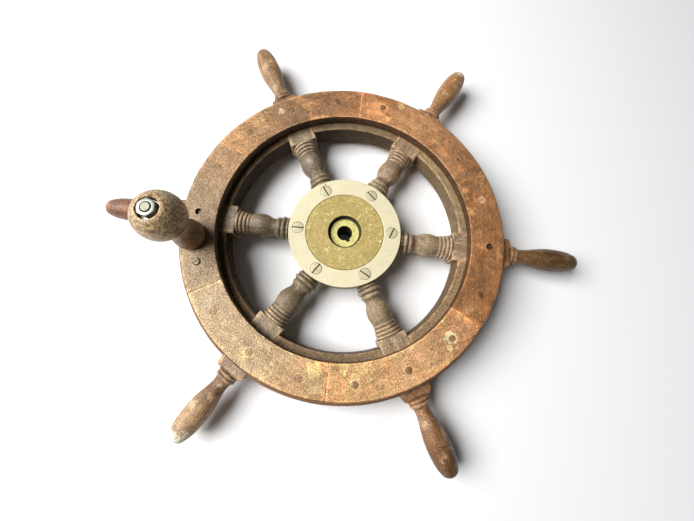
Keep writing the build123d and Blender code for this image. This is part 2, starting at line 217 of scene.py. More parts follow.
# ---------------------------------------- wood
def wood(name, grain_turn, bands, seed, light, grain=0.5, speck=1.0, patch=None, dust_and_sheen=None, flakes=None,
         gloss=(0.42, 0.62), side=0.5, ends=(-0.09, 0.09), marks=(), spots=1.0, groove_dirt_and_shade=0.85, foot=None,
         mottle=0.4, curls=None, fine_scale=640, rim_line=None, shine=0.45):
    """Old hardwood with its grain along one direction.

    bands: colours at even steps along the grain, between the two ends in metres.
    patch: (colour, share of the surface) for large worn or stained areas.
    dust: (colour, strength) for a dusty film, which on the front ring's arcs facing the key also paints the
    key's sheen; flakes: (colour, strength) for cracked varnish.
    marks: (x, y, radius, colour, strength) in the part's frame, for worn places; a few beside the front
    ring's flush screw are painted highlights.
    side: how much darker the upright sides are than the level faces, as painted shade mixed with soiling.
    mottle: slow changes of tone; curls: (colour, strength) for thin lifted curls of varnish.
    rim_line: (radius, colour, strength) for the band outside a radius round the bore.
    shine: how much the surface reflects, whatever its roughness.
    dirt: strength of the soiling and painted shade in grooves; foot: (low, high, colour to multiply) for a
    lower part darkened by painted shade and soiling.
    """
    material, tree, shader = new_material(name)
    shift = (seed * 1.37, seed * 2.11, seed * 0.73)
    fibre = placed(tree, grain_turn, (18, 330, 330), shift)
    rings = placed(tree, grain_turn, (5, 85, 85), shift)
    free = placed(tree, grain_turn, (1, 1, 1), shift)
    place = add(tree, "ShaderNodeSeparateXYZ", {0: placed(tree, grain_turn)}).outputs[0]

    span = ends[1] - ends[0]
    colour = tone(bands[0], light)
    wander = times(tree, maths(tree, "SUBTRACT", speckle(tree, free, 30, 4), 0.5), 0.2 * span)
    wander = plus(tree, wander, place)
    for index, band in enumerate(bands[1:]):
        start = ends[0] + span * index / (len(bands) - 1)
        share = between(tree, wander, start, start + span / (len(bands) - 1))
        colour = mix(tree, share, colour, tone(band, light))
    if patch:
        blotch = speckle(tree, free, 34, 6, 0.62, 0.6)
        edge = 0.62 - 0.3 * patch[1]
        colour = mix(tree, between(tree, blotch, edge, edge + 0.09), colour, tone(patch[0], light))

    fine = speckle(tree, free, fine_scale, 3, 0.62)
    cloud = speckle(tree, free, 110, 4, 0.62)
    own = add(tree, "ShaderNodeTexCoord").outputs["Object"]
    for x, y, size, paint, strength in marks:
        flat = add(tree, "ShaderNodeVectorMath", {0: own, 1: (1, 1, 0)}, operation="MULTIPLY").outputs[0]
        away = add(tree, "ShaderNodeVectorMath", {0: flat, 1: (x, y, 0)},
            operation="DISTANCE").outputs["Value"]
        ragged = times(tree, maths(tree, "SUBTRACT", speckle(tree, free, 1.4 / size, 7, 0.72), 0.5),
            3.0 * size)
        sharp = 0.74 if strength > 0.65 else 0.1
        inside = between(tree, plus(tree, away, ragged), size, sharp * size, 0.0, strength)
        colour = mix(tree, inside, colour, tone(paint, 0.86 * light))

    ring_fac = speckle(tree, rings, 1.0, 4, 0.55, 1.2)
    fibre_fac = speckle(tree, fibre, 1.0, 5, 0.62)
    shade = plus(tree, times(tree, ring_fac, 0.5), times(tree, fibre_fac, 0.5))
    level = between(tree, shade, 0.38, 0.62, 1 - 0.34 * grain, 1 + 0.30 * grain)
    level = times(tree, level, between(tree, cloud, 0.34, 0.66, 0.86, 1.16))
    broad = speckle(tree, free, 26, 4, 0.6, 0.5)
    level = times(tree, level, between(tree, broad, 0.34, 0.66, 1 - 0.2 * mottle, 1 + 0.22 * mottle))
    grey = add(tree, "ShaderNodeCombineColor", {0: level, 1: level, 2: level}).outputs[0]
    colour = mix(tree, 1.0, colour, grey, "MULTIPLY")
    sunk = mix(tree, 1.0, colour, (0.50, 0.42, 0.34, 1), "MULTIPLY")
    colour = mix(tree, times(tree, between(tree, fine, 0.50, 0.37), speck), colour, sunk)
    worn = mix(tree, 1.0, colour, (1.62, 1.68, 1.74, 1), "MULTIPLY")
    colour = mix(tree, times(tree, between(tree, fine, 0.50, 0.63), speck), colour, worn)

    pores = speckle(tree, placed(tree, grain_turn, (60, 1100, 1100), shift), 1.0, 2, 0.5)
    pore_mask = between(tree, pores, 0.58, 0.70)
    colour = mix(tree, times(tree, pore_mask, 0.45 * grain), colour, (0.03, 0.018, 0.01, 1))
    height = plus(tree, times(tree, fibre_fac, 0.5 * grain), times(tree, fine, 1.3))

    if dust_and_sheen:
        film = speckle(tree, free, 95, 7, 0.72)
        share = times(tree, between(tree, film, 0.42, 0.62), dust_and_sheen[1])
        colour = mix(tree, share, colour, tone(dust_and_sheen[0], light))
    if flakes:
        field = between(tree, speckle(tree, free, 20, 4, 0.6, 0.4), 0.46, 0.58)
        warp = add(tree, "ShaderNodeTexNoise", {"Vector": free, "Scale": 140.0,
            "Detail": 3.0}).outputs["Color"]
        bent = mix(tree, 0.008, free, warp, "ADD")
        crack = between(tree, cells(tree, bent, 330, "DISTANCE_TO_EDGE"), 0.03, 0.16)
        chip = between(tree, speckle(tree, placed(tree, grain_turn, (0.7, 1.2, 1), shift), 330, 5, 0.75),
            0.565, 0.62)
        lifted = times(tree, times(tree, chip, field), flakes[1])
        colour = mix(tree, lifted, colour, tone(flakes[0], light))
        crack_line = times(tree, maths(tree, "SUBTRACT", 1.0, crack), field)
        darker = mix(tree, 1.0, colour, (0.58, 0.50, 0.42, 1), "MULTIPLY")
        colour = mix(tree, times(tree, crack_line, 0.7 * flakes[1]), colour, darker)
        height = plus(tree, height, times(tree, crack_line, -0.5))
        height = plus(tree, height, times(tree, lifted, 0.6))

    if curls:
        bent = speckle(tree, placed(tree, grain_turn - 20, (0.6, 1.15, 1), shift), 240, 2, 0.55, 1.2)
        thin = between(tree, maths(tree, "ABSOLUTE", maths(tree, "SUBTRACT", bent, 0.5)), 0.062, 0.026)
        broken = between(tree, speckle(tree, free, 170, 3, 0.6), 0.45, 0.52)
        field = between(tree, speckle(tree, free, 24, 4, 0.65, 0.3), 0.46, 0.55, 0.18, 1.0)
        thin = times(tree, times(tree, thin, broken), field)
        colour = mix(tree, times(tree, thin, curls[1]), colour, tone(curls[0], 0.84 * light))
        height = plus(tree, height, times(tree, thin, 1.3))

    dot = between(tree, speckle(tree, free, 430, 2, 0.5), 0.715, 0.75)
    colour = mix(tree, times(tree, dot, 0.85 * spots), colour, tone((255, 232, 196), light))
    line_place = placed(tree, grain_turn + 50, (14, 620, 620), shift)
    line = between(tree, speckle(tree, line_place, 1.0, 2, 0.5, 0.6), 0.69, 0.74)
    colour = mix(tree, times(tree, line, 0.5 * spots), colour, tone((244, 216, 176), light))
    pit = between(tree, speckle(tree, placed(tree, grain_turn, (1, 1, 1), (seed, 3, 7)), 420, 2, 0.5),
        0.71, 0.76)
    colour = mix(tree, times(tree, pit, 0.75), colour, (0.025, 0.014, 0.008, 1))
    height = plus(tree, height, times(tree, pit, -1.2))

    stand = relief(tree)
    # convex edges and crests are lightened in patches: wear, with a painted highlight along the edges
    worn_and_highlit_edge = times(tree, between(tree, stand, 0.08, 0.42), between(tree, cloud, 0.30, 0.52))
    lighter = mix(tree, 1.0, colour, (1.75, 1.66, 1.55, 1), "MULTIPLY")
    colour = mix(tree, times(tree, worn_and_highlit_edge, 0.85), colour, lighter)
    # grooves and hollows are darkened towards near black: soiling and painted shade
    dirt_and_painted_shade = between(tree, stand, -0.05, -0.28)
    colour = mix(tree, times(tree, dirt_and_painted_shade, groove_dirt_and_shade), colour, (0.028, 0.018, 0.011, 1))
    radius = add(tree, "ShaderNodeVectorMath", {0: own, 1: (1, 1, 0)}, operation="MULTIPLY").outputs[0]
    radius = add(tree, "ShaderNodeVectorMath", {0: radius}, operation="LENGTH").outputs["Value"]
    # upright faces are mixed towards a dark olive brown: painted shade, with some soiling
    if side:
        facing = upness(tree)
        upright = between(tree, maths(tree, "ABSOLUTE", facing), 0.78, 0.40)
        inner = between(tree, radius, facing_outer - 8 * MM, facing_outer - 14 * MM, 0.6 * side, side)
        dirt_and_shade_tone = mix(tree, 0.86, colour, tone((58, 44, 27), light))
        colour = mix(tree, times(tree, upright, inner), colour, dirt_and_shade_tone)
    if rim_line:
        outside = between(tree, radius, rim_line[0] - 0.6 * MM, rim_line[0] + 0.4 * MM, 0.0, rim_line[2])
        colour = mix(tree, outside, colour, tone(rim_line[1], light))

    # the lower part is darkened: painted shade under the knob's head, with soiling
    if foot:
        high = add(tree, "ShaderNodeSeparateXYZ", {0: own}).outputs[2]
        soiled_and_shaded_foot = mix(tree, 1.0, colour, foot[2], "MULTIPLY")
        colour = mix(tree, between(tree, high, foot[1], foot[0]), colour, soiled_and_shaded_foot)
    tree.links.new(colour, shader.inputs["Base Color"])
    sheen = between(tree, speckle(tree, free, 70, 5, 0.65), 0.36, 0.66, gloss[0], gloss[1])
    tree.links.new(sheen, shader.inputs["Roughness"])
    shader.inputs["Specular IOR Level"].default_value = shine
    bump(tree, shader, height, 0.7, 0.0009)
    return material


# ---------------------------------------- metal
def metal(name, colour, seed, light=1.3, rough=(0.35, 0.5), stain=None, pits=0.0, metallic=0.4, scratch=0.3,
          cloudy=0.10, side=0.7, recess_dirt_and_shade=None, flecks=None):
    """Used metal.

    stain: (colour, share, scale) for tarnish; pits: how many dark spots.
    side: how much darker the upright faces are, as painted shade; deep: (low, high) of a recess darkened
    near black, as painted shade with soiling.
    flecks: (colour, share) for small bright scraped places.
    """
    material, tree, shader = new_material(name)
    free = placed(tree, 0, (1, 1, 1), (seed, seed * 0.6, seed * 0.3))
    paint = tone(colour, light)
    cloud = speckle(tree, free, 75, 6, 0.65)
    duller = tuple((1 - cloudy) * c for c in paint[:3]) + (1,)
    colour_now = mix(tree, between(tree, cloud, 0.36, 0.62), duller, paint)
    fine = speckle(tree, free, 650, 4, 0.7)
    level = between(tree, fine, 0.36, 0.66, 1 - 1.2 * cloudy, 1 + 0.9 * cloudy)
    grey = add(tree, "ShaderNodeCombineColor", {0: level, 1: level, 2: level}).outputs[0]
    colour_now = mix(tree, 1.0, colour_now, grey, "MULTIPLY")
    polish = between(tree, speckle(tree, free, 160, 5, 0.65), 0.35, 0.68, rough[0], rough[1])
    height = fine
    if stain:
        blotch = speckle(tree, free, stain[2], 7, 0.74, 0.4)
        edge = 0.66 - 0.34 * stain[1]
        share = between(tree, blotch, edge, edge + 0.07)
        colour_now = mix(tree, times(tree, share, 0.85), colour_now, tone(stain[0], light))
        height = plus(tree, height, times(tree, share, -0.6))
    if flecks:
        grain = speckle(tree, free, 300, 4, 0.62, 0.8)
        field = between(tree, speckle(tree, free, 48, 3, 0.6), 0.44, 0.56, 0.25, 1.0)
        edge = 0.66 - 0.16 * flecks[1]
        bright = times(tree, between(tree, grain, edge, edge + 0.05), field)
        colour_now = mix(tree, times(tree, bright, 0.9), colour_now, tone(flecks[0], light))
        rust = between(tree, speckle(tree, free, 420, 4, 0.6, 0.5), 0.45, 0.38)
        colour_now = mix(tree, times(tree, rust, 0.45), colour_now, tone((132, 106, 52), light))
        height = plus(tree, height, times(tree, bright, 0.7))
    if pits:
        edge = 0.76 - 0.07 * pits
        spot = between(tree, speckle(tree, free, 330, 2, 0.5), edge, edge + 0.025)
        colour_now = mix(tree, times(tree, spot, 0.85), colour_now, (0.06, 0.045, 0.03, 1))
        height = plus(tree, height, times(tree, spot, -2.0))
    line = speckle(tree, placed(tree, 20 + 40 * seed, (12, 900, 12), (0, seed, 0)), 1.0, 3, 0.5, 0.5)
    nick = between(tree, line, 0.66, 0.74)
    colour_now = mix(tree, times(tree, nick, 0.25 * scratch), colour_now, (0.12, 0.10, 0.07, 1))
    height = plus(tree, height, times(tree, nick, -scratch))
    # grooves, upright faces and recesses are darkened towards near black: painted shade, with soiling in
    # grooves and recesses
    dirt_and_painted_shade = between(tree, relief(tree), -0.06, -0.32)
    if side:
        facing = upness(tree)
        upright = between(tree, maths(tree, "ABSOLUTE", facing), 0.5, 0.15, 0.0, side)
        dirt_and_painted_shade = maths(tree, "MAXIMUM", dirt_and_painted_shade, upright)
    if recess_dirt_and_shade is not None:
        high = add(tree, "ShaderNodeSeparateXYZ", {0: add(tree,
            "ShaderNodeTexCoord").outputs["Object"]}).outputs[2]
        under = between(tree, high, recess_dirt_and_shade[1], recess_dirt_and_shade[1] - 0.3 * MM, 0.0, 0.92)
        over = between(tree, high, recess_dirt_and_shade[0], recess_dirt_and_shade[0] + 0.3 * MM)
        dirt_and_painted_shade = maths(tree, "MAXIMUM", dirt_and_painted_shade, times(tree, under, over))
    colour_now = mix(tree, dirt_and_painted_shade, colour_now, (0.022, 0.018, 0.012, 1))
    tree.links.new(colour_now, shader.inputs["Base Color"])
    tree.links.new(polish, shader.inputs["Roughness"])
    shader.inputs["Metallic"].default_value = metallic
    bump(tree, shader, height, 0.25, 0.00012)
    return material


# ---------------------------------------- mesh building blocks
def linked(name, mesh):
    """A new object in the scene."""
    made = bpy.data.objects.new(name, mesh)
    scene.collection.objects.link(made)
    return made


def even_turns(count):
    """Angles at even steps round a circle."""
    return [2 * pi * k / count for k in range(count)]


def loft(name, loops, cap=True, wrap=False):
    """A closed skin through loops of points, all with the same count."""
    count, around = len(loops), len(loops[0])
    points = [tuple(p) for loop in loops for p in loop]
    faces = []
    for i in range(count if wrap else count - 1):
        row, after = i * around, ((i + 1) % count) * around
        for j in range(around):
            k = (j + 1) % around
            faces.append((row + j, row + k, after + k, after + j))
    if cap and not wrap:
        for row, flip in ((0, True), ((count - 1) * around, False)):
            centre = len(points)
            rim = points[row:row + around]
            points.append(tuple(sum(p[a] for p in rim) / around for a in range(3)))
            for j in range(around):
                pair = (row + (j + 1) % around, row + j) if flip else (row + j, row + (j + 1) % around)
                faces.append((*pair, centre))
    mesh = bpy.data.meshes.new(name)
    mesh.from_pydata(points, [], faces)
    mesh.validate()
    piece = linked(name, mesh)
    outward(piece)
    return piece


def outward(piece):
    """Turns every face's normal to the outside."""
    work = bmesh.new()
    work.from_mesh(piece.data)
    bmesh.ops.recalc_face_normals(work, faces=work.faces)
    work.to_mesh(piece.data)
    work.free()


def arrays(mesh):
    """Vertex places, vertex normals and edges as arrays."""
    count = len(mesh.vertices)
    places = np.empty(count * 3)
    mesh.vertices.foreach_get("co", places)
    normals = np.empty(count * 3)
    mesh.vertices.foreach_get("normal", normals)
    edges = np.empty(len(mesh.edges) * 2, dtype=int)
    mesh.edges.foreach_get("vertices", edges)
    return places.reshape(-1, 3), normals.reshape(-1, 3), edges.reshape(-1, 2)


def wear(piece, seed, wave=0.25 * MM, fine=0.08 * MM, dings=0.35 * MM, ding_size=9 * MM):
    """Moves the skin in and out a little: slow waves, fine roughness and a few dents."""
    mesh = piece.data
    places, normals, _ = arrays(mesh)
    offset = Vector((seed * 3.7, seed * 1.9, seed * 5.3))
    moved = places.copy()
    for i, place in enumerate(places):
        spot = Vector(place)
        push = wave * noise.noise(spot * 38 + offset) + fine * noise.noise(spot * 260 + offset)
        near = noise.voronoi(spot / ding_size + offset)[0][0]
        if near < 0.30 and noise.noise(spot * 21 + offset) > 0.12:
            push -= dings * (1 - near / 0.30) ** 2
        moved[i] += normals[i] * push
    mesh.vertices.foreach_set("co", moved.ravel())
    mesh.update()


def mark_relief(piece, reach=3, gain=1.0):
    """Stores how convex the skin is at each point, for worn edges with a painted highlight and for grooves
    darkened by soiling and painted shade.
    """
    mesh = piece.data
    places, normals, edges = arrays(mesh)
    value = np.zeros(len(places))
    weight = np.zeros(len(places))
    step = places[edges[:, 1]] - places[edges[:, 0]]
    length = np.linalg.norm(step, axis=1) + 1e-9
    for near, sign in ((0, -1), (1, 1)):
        bend = sign * np.einsum("ij,ij->i", normals[edges[:, near]], step) / length
        np.add.at(value, edges[:, near], bend)
        np.add.at(weight, edges[:, near], 1)
    value = value / np.maximum(weight, 1)
    for _ in range(reach):
        total, count = value.copy(), np.ones(len(value))
        for a, b in ((0, 1), (1, 0)):
            np.add.at(total, edges[:, a], value[edges[:, b]])
            np.add.at(count, edges[:, a], 1)
        value = total / count
    layer = mesh.attributes.new("relief", "FLOAT", "POINT")
    layer.data.foreach_set("value", np.clip(value * gain * 4, -1, 1))


def finish(piece, material, body, nodes, sharp=38):
    """Shading, material, body and the nodes that the piece stands for."""
    mesh = piece.data
    mesh.shade_smooth()
    mesh.set_sharp_from_angle(angle=radians(sharp))
    mesh.materials.clear()
    mesh.materials.append(material)
    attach(piece, body)
    if nodes:
        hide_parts(*nodes)


def carve(piece, cutter):
    """Cuts one closed mesh out of another."""
    cut = piece.modifiers.new("cut", "BOOLEAN")
    cut.operation = "DIFFERENCE"
    cut.solver = "EXACT"
    cut.object = cutter
    shape = bpy.data.meshes.new_from_object(piece.evaluated_get(bpy.context.evaluated_depsgraph_get()))
    piece.modifiers.clear()
    piece.data = shape
    bpy.data.objects.remove(cutter)


def round_bars(places, radius, low, high, around=32):
    """Several upright round bars as one object, used to cut holes."""
    points, faces = [], []
    for x, y in places:
        first = len(points)
        for z in (low, high):
            points += [(x + radius * cos(t), y + radius * sin(t), z) for t in even_turns(around)]
        for k in range(around):
            after = (k + 1) % around
            faces.append((first + k, first + after, first + around + after, first + around + k))
        faces.append(tuple(first + k for k in reversed(range(around))))
        faces.append(tuple(first + around + k for k in range(around)))
    mesh = bpy.data.meshes.new("cutter")
    mesh.from_pydata(points, [], faces)
    bars = linked("cutter", mesh)
    return bars


def bar_cutter(place, turn_deg, along, wide, levels):
    """A straight square-edged bar: along is its (start, end) from a place, wide half its width."""
    turn, corners = radians(turn_deg), []
    for z in levels:
        for run, across in ((along[0], -wide), (along[1], -wide), (along[1], wide), (along[0], wide)):
            corners.append((place[0] + run * cos(turn) - across * sin(turn),
                            place[1] + run * sin(turn) + across * cos(turn), z))
    mesh = bpy.data.meshes.new("cutter")
    mesh.from_pydata(corners, [], [(0, 3, 2, 1), (4, 5, 6, 7), (0, 1, 5, 4), (1, 2, 6, 5), (2, 3, 7, 6),
        (3, 0, 4, 7)])
    return linked("cutter", mesh)


def on_circle(radius, angle):
    """X and Y at an angle in degrees round the bore."""
    return radius * cos(radians(angle)), radius * sin(radians(angle))


# ---------------------------------------- rim
def section_loop(low, high, bottom, top, corner, step):
    """Radius and height round a rectangle with rounded corners, in even steps."""
    loop = []
    centres = ((high - corner, top - corner, 0), (low + corner, top - corner, 90),
               (low + corner, bottom + corner, 180), (high - corner, bottom + corner, 270))
    for index, (r, z, turn) in enumerate(centres):
        arc = [radians(turn + part * 22.5) for part in range(5)]
        loop += [(r + corner * cos(a), z + corner * sin(a)) for a in arc]
        after = centres[(index + 1) % 4]
        start = loop[-1]
        end = (after[0] + corner * cos(radians(after[2])), after[1] + corner * sin(radians(after[2])))
        steps = max(1, round(hypot(end[0] - start[0], end[1] - start[1]) / step))
        for part in range(1, steps):
            share = part / steps
            loop.append((start[0] + share * (end[0] - start[0]), start[1] + share * (end[1] - start[1])))
    return loop


SHOULDER = 2.4 * MM


def rim_arc(name, low, high, bottom, top, start_of, end_of, corner, step, seed):
    """A curved bar of the rim; start_of and end_of give the end angles at each radius."""
    section = section_loop(low, high, bottom, top, corner, step)
    mid_r, mid_z = (low + high) / 2, (bottom + top) / 2
    span = radians(end_of(mid_r) - start_of(mid_r)) * mid_r
    steps = round(span / step)
    loops = []
    for part in [0.0, 0.12] + list(range(1, steps)) + [steps - 0.12, steps]:
        share = part / steps
        inset = 0.2 * MM if part in (0.0, steps) else 0.0
        loop = []
        for r, z in section:
            r_now = r - inset * (1 if r > mid_r else -1)
            z_now = z - inset * (1 if z > mid_z else -1)
            z_now -= (z_now - mid_z) / (top - mid_z) * SHOULDER * max(0.0,
                (r - high + 5 * MM) / (5 * MM)) ** 2
            angle = start_of(r) + share * (end_of(r) - start_of(r))
            x, y = on_circle(r_now, angle)
            uneven = 0.35 * MM * noise.noise(Vector((x * 90, y * 90, seed)))
            if abs(z - bottom) < corner or abs(z - top) < corner:
                if r - low < corner or high - r < corner:
                    shrink = max(0.0, uneven)
                    x, y = on_circle(r_now - shrink * (1 if r > mid_r else -1), angle)
            loop.append((x, y, z_now))
        loops.append(loop)
    piece = loft(name, loops)
    wear(piece, seed, 0.22 * MM, 0.05 * MM, 0.40 * MM, 11 * MM)
    return piece


FRONT_LOOKS = [
    # colours along the arc from joint to joint, and what lies on them
    dict(bands=((172, 122, 80), (192, 140, 94), (188, 130, 86)), patch=((220, 152, 100), 0.25),
    curls=((248, 196, 140), 0.3),
         speck=0.5, mottle=1.1, gloss=(0.26, 0.5)),
    dict(bands=((178, 125, 82), (170, 128, 88), (214, 160, 108)), patch=((226, 166, 108), 0.28),
    curls=((244, 208, 160), 0.4),
         speck=0.7, mottle=1.0, gloss=(0.28, 0.5)),
    # the third and fourth arcs, which face the key, are paler and greyer with a dusty film partly to paint
    # the key's sheen on the varnish; the rest is real dusty film and flaking
    dict(bands=((212, 160, 108), (184, 150, 112), (206, 174, 134)), dust_and_sheen=((216, 190, 154), 0.3),
    curls=((248, 216, 166), 0.55),
         speck=1.3, mottle=0.6),
    dict(bands=((212, 178, 138), (222, 186, 144), (220, 164, 108)), dust_and_sheen=((232, 204, 166), 0.25),
    curls=((255, 226, 166), 0.95),
         speck=1.0, mottle=0.6, flakes=((252, 236, 196), 0.3)),
    dict(bands=((220, 166, 110), (240, 186, 132), (202, 140, 92)), patch=((238, 172, 114), 0.3),
    curls=((255, 224, 152), 1.0),
         speck=0.8, mottle=0.8, flakes=((252, 232, 184), 0.3)),
    dict(bands=((160, 108, 64), (162, 110, 67), (170, 120, 77)), patch=((190, 128, 78), 0.25),
    curls=((232, 180, 132), 0.2),
         speck=0.45, mottle=1.1, gloss=(0.26, 0.5)),
]
BRIGHTER = (0.92, 0.94, 0.93, 0.85, 0.91, 0.97)
# how much darker each front arc's upright walls are: painted shade
WALL_DARKNESS = (0.95, 0.95, 0.85, 0.92, 0.92, 0.90)
RIM_LINES = [(facing_outer - 2.2 * MM, (104, 66, 40), strength) for strength in (0.0, 0.15, 0.6, 0.85,
    0.75, 0.2)]
ORANGE, PALE, PAINTED_KNOB_SHADOW = (236, 164, 104), (252, 222, 158), (120, 92, 64)
MARKS = [
    # angle, radius and size in millimetres, colour, strength
    (83, 174, 17, ORANGE, 0.75), (76, 164, 7, (250, 190, 128), 0.6), (73, 188, 5, PALE, 0.7),
    # the marks at 16°, 22° and 26°, beside the flush screw, are painted highlights
    (26, 161, 7, (250, 176, 116), 0.6), (16, 161, 7, (252, 184, 122), 0.65), (22, 160, 3, (255, 214, 160),
    0.6),
    (46, 164, 10, (236, 164, 108), 0.6), (54, 166, 8, (232, 160, 104), 0.6), (350, 192, 9, (190, 116, 62),
    0.5),
    (143, 184, 13, (230, 176, 118), 0.6), (134, 176, 14, (236, 182, 122), 0.6), (124, 182, 5, (246, 214,
    180), 0.8),
    (203, 181, 6, (246, 232, 180), 0.6), (216, 178, 12, (240, 218, 180), 0.5), (239, 184, 9, PALE, 0.7),
    (247, 190, 9, (250, 214, 156), 0.7), (264, 165, 10, (255, 218, 140), 1.0), (276, 160, 7, (255, 214,
    140), 0.9),
    (280, 173, 7, (255, 226, 156), 0.8), (276, 180, 8, (226, 150, 96), 0.7), (267, 184, 6, (252, 214,
    150), 0.7),
    (320, 175, 8, (255, 236, 180), 1.0), (317, 182, 4, (255, 226, 160), 0.9), (306, 172, 11, (240, 180,
    130), 0.6),
    # the dark patch at 185° lies where the knob's shadow falls: painted shadow
    (333, 172, 9, (196, 150, 104), 0.6), (169, 190, 12, (150, 126, 98), 0.6), (185, 165, 13, PAINTED_KNOB_SHADOW, 0.45),
]


def make_facings():
    """The front and back facing rings, each of six arcs with butt joints."""
    for index, joint in enumerate(JOINT_ANGLES):
        end = joint + 60
        gaps = [OPEN_GAP if a in OPEN_JOINTS else CLOSED_GAP for a in (joint, end)]
        gap_first, gap_last = (degrees(gap * MM / facing_outer) for gap in gaps)
        for side, bottom, top in (("front", front_low, front_high), ("back", 0.0, felloe_low)):
            name = f"{side}_facing_{index + 1}"
            seed = index + (1 if side == "front" else 9)
            piece = rim_arc(f"{name}_wood", facing_inner, facing_outer, bottom, top,
                            lambda r: joint + gap_first, lambda r: end - gap_last, 1.3 * MM, 2.2 * MM, seed)
            inside = [a % 360 for a in FIXING_ANGLES if joint < a < end or joint < a + 360 < end]
            face = top if side == "front" else bottom
            for angle in inside:
                radius = 4.1 * MM
                if side == "front" and angle in (FLUSH_SCREW, RAISED_SCREW):
                    radius = 5.3 * MM if angle == FLUSH_SCREW else 4.6 * MM
                spot = [on_circle(FIXING_PITCH, angle)]
                carve(piece, round_bars(spot, radius, face - 6 * MM, face + 6 * MM))
            if index == 2:
                carve(piece, round_bars([(knob_x, knob_y)], 5.3 * MM, bottom - 0.01, top + 0.01))
                if side == "back":
                    carve(piece, round_bars([(knob_x, knob_y)], 12 * MM, -0.01, 9.5 * MM))
            middle = joint + 30
            look = FRONT_LOOKS[index] if side == "front" else dict(bands=((150, 110, 74), (140, 104, 72)),
                dust_and_sheen=((176, 150, 120), 0.4))
            light = BRIGHTER[index] * lit(*on_circle(FIXING_PITCH, middle))
            near = [m for m in MARKS if side == "front" and abs((m[0] - middle + 180) % 360 - 180) < 40]
            marks = [(*on_circle(r * MM, a), size * MM, paint, strength) for a, r, size, paint,
                strength in near]
            material = wood(f"{name}_look", middle + 90, seed=seed, light=light, marks=marks, groove_dirt_and_shade=0.7,
                            side=WALL_DARKNESS[index],
                            rim_line=RIM_LINES[index] if side == "front" else None, **look)
            mark_relief(piece)
            finish(piece, material, "wheel", [name])


FELLOE_LOOKS = [
    # colours along the arc, dusty film, gloss and how dark the walls are as painted shade; the third to
    # fifth felloes, which lie in the front ring's shadow, are darker in colour partly as painted shade and
    # partly as darker varnish
    (((166, 142, 110), (160, 134, 100)), 0.40, (0.6, 0.8), 0.44),
    (((150, 128, 98), (134, 112, 84)), 0.30, (0.5, 0.75), 0.80),
    (((120, 96, 68), (104, 82, 56)), 0.15, (0.3, 0.5), 0.95),
    (((112, 86, 58), (130, 100, 68)), 0.15, (0.24, 0.42), 0.85),
    (((136, 112, 84), (150, 126, 96)), 0.30, (0.4, 0.6), 0.95),
    (((160, 134, 102), (166, 136, 100)), 0.40, (0.6, 0.8), 0.64),
]


def make_felloes():
    """The middle layer of the rim, one piece between each pair of spoke blocks."""
    for index, angle in enumerate(SPOKE_ANGLES):
        after = (SPOKE_ANGLES + [360])[index + 1]
        name = f"felloe_{index + 1}"
        piece = rim_arc(f"{name}_wood", felloe_inner, felloe_outer, felloe_low + 0.02 * MM,
            felloe_high - 0.02 * MM,
                        lambda r: angle + degrees(asin(block_half_wide / r)) + 0.05,
                        lambda r: after - degrees(asin(block_half_wide / r)) - 0.05,
                        1.6 * MM, 2.4 * MM, index + 21)
        if index == 3:
            carve(piece, round_bars([(knob_x, knob_y)], 5.3 * MM, felloe_low - 0.01, felloe_high + 0.01))
        middle = (angle + after) / 2
        light = lit(*on_circle(felloe_inner, middle))
        bands, dust_and_sheen, gloss, side = FELLOE_LOOKS[index]
        material = wood(f"{name}_look", middle + 90, bands, index + 31, light, 0.35, 0.8,
                        dust_and_sheen=((182, 156, 120), dust_and_sheen), gloss=gloss, side=side, spots=0.5, shine=0.12,
                        rim_line=(199 * MM, (172, 118, 76), 0.8))
        mark_relief(piece)
        finish(piece, material, "wheel", [name])


# ---------------------------------------- spokes
AROUND = 72
GROOVE_DEEPER = 0.2
HUB_BEADS = [(70.4, 74.6, 14.6, 13.2), (74.6, 81.2, 15.3, 12.4), (81.2, 87.6, 13.4, 11.6)]
RIM_BEADS = [(119.6, 124.0, 14.0, 13.2), (124.0, 128.6, 14.8, 14.0), (128.6, 133.2, 15.6, 14.8), (133.2,
    137.0, 16.4, 15.4)]
HANDLE_BEADS = [(212.5, 217.6, 13.3, 11.6), (217.6, 222.6, 12.4, 10.6)]


def bead_stations(beads, first_r, step=0.6):
    """(distance, radius) over a row of beads."""
    stations, start_r = [], first_r
    for start, end, crest, groove in beads:
        steps = max(6, round((end - start) / step))
        for part in range(steps):
            share = part / steps
            base = start_r + share * (groove - start_r)
            radius = base - GROOVE_DEEPER + (crest - base + GROOVE_DEEPER) * sin(pi * share) ** 0.7
            stations.append((start + share * (end - start), radius))
        start_r = groove
    return stations


def curve_stations(knots, step=1.6):
    """(distance, radius) along a smooth line through knots."""
    xs = np.array([k[0] for k in knots])
    rs = np.array([k[1] for k in knots])
    slopes = np.gradient(rs, xs)
    for i in range(1, len(knots) - 1):
        if (rs[i] - rs[i - 1]) * (rs[i + 1] - rs[i]) <= 0:
            slopes[i] = 0
    stations = []
    for i in range(len(knots) - 1):
        gap = xs[i + 1] - xs[i]
        for part in range(max(2, round(gap / step))):
            t = part / max(2, round(gap / step))
            blend = (2 * t**3 - 3 * t**2 + 1, t**3 - 2 * t**2 + t, 3 * t**2 - 2 * t**3, t**3 - t**2)
            radius = blend[0] * rs[i] + blend[1] * gap * slopes[i]
            radius = radius + blend[2] * rs[i + 1] + blend[3] * gap * slopes[i + 1]
            stations.append((xs[i] + t * gap, radius))
    return stations


def round_loop(distance, radius):
    """A ring of points across the spoke."""
    return [(distance, radius * cos(t), radius * sin(t)) for t in even_turns(AROUND)]


